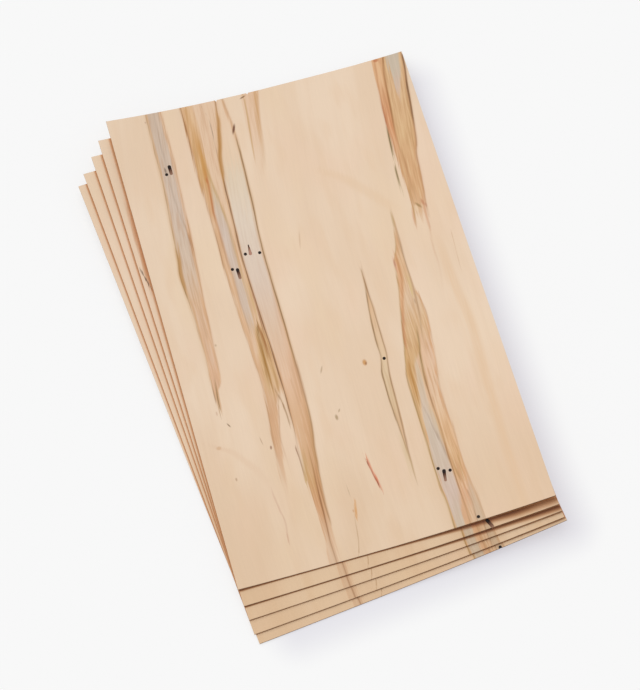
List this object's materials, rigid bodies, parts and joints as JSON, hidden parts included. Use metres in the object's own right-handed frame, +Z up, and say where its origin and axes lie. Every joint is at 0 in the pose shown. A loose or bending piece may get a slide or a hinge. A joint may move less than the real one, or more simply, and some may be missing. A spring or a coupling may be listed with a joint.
{
  "type": "veneer sheet pack",
  "caption": "Fanned pile of thin rectangular wood veneer sheets, slightly cupped, with beetle bores and dark streaks along the grain.",
  "frame": {"origin": "middle of the bottom sheet, on the flat strip that it rests on, at table height", "axes": "+Z up out of the table, +Y along the length and grain of the bottom sheet, +X across it to the right as seen from above"},
  "size_m": [0.2197, 0.3363, 0.0173],
  "materials": {
    "veneer_top": "sliced ambrosia maple veneer, unsanded and unfinished, pale with grey and brown streaks",
    "veneer_under": "sliced ambrosia maple veneer, unsanded and unfinished, pale with grey and brown streaks"
  },
  "bodies": {
    "root": {"veneer_sheet_1": "veneer_top", "veneer_sheet_2": "veneer_under", "veneer_sheet_3": "veneer_under", "veneer_sheet_4": "veneer_under", "veneer_sheet_5": "veneer_under"}
  },
  "joints": []
}
